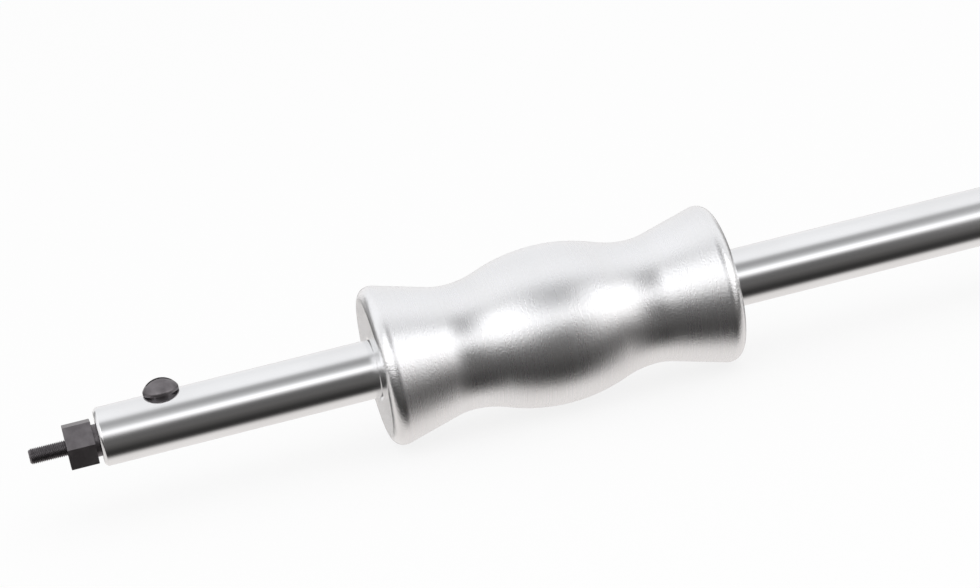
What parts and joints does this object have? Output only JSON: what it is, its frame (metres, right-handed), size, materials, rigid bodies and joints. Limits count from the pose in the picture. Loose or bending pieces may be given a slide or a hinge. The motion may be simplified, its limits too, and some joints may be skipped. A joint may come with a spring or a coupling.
{
  "type": "slide hammer seal puller",
  "caption": "Slide-hammer seal puller: a threaded tip screws into the seal, and a waisted weight slides along a chromed rod against a stop to draw it out.",
  "frame": {"origin": "centre of the hexagon's front face, the shoulder behind the thread that goes into the seal", "axes": "+X along the rod from the tip to the rear stop, +Z towards the head of the lock screw"},
  "size_m": [0.411, 0.0442, 0.0442],
  "materials": {
    "chromed_rod": "polished",
    "satin_steel": "satin",
    "black_oxide": "satin",
    "zinc_plate": "satin"
  },
  "bodies": {
    "rod": {"guide_rod": "chromed_rod", "screw_tip": "black_oxide", "lock_screw": "black_oxide", "rear_stop": "satin_steel", "stop_washer": "zinc_plate", "stop_screw": "black_oxide"},
    "weight": {"sliding_weight": "satin_steel"}
  },
  "joints": [
    {"name": "weight_slide", "type": "slide", "parent": "rod", "child": "weight", "axis": [1, 0, 0], "range_m": [-0.0521, 0.1939]}
  ]
}
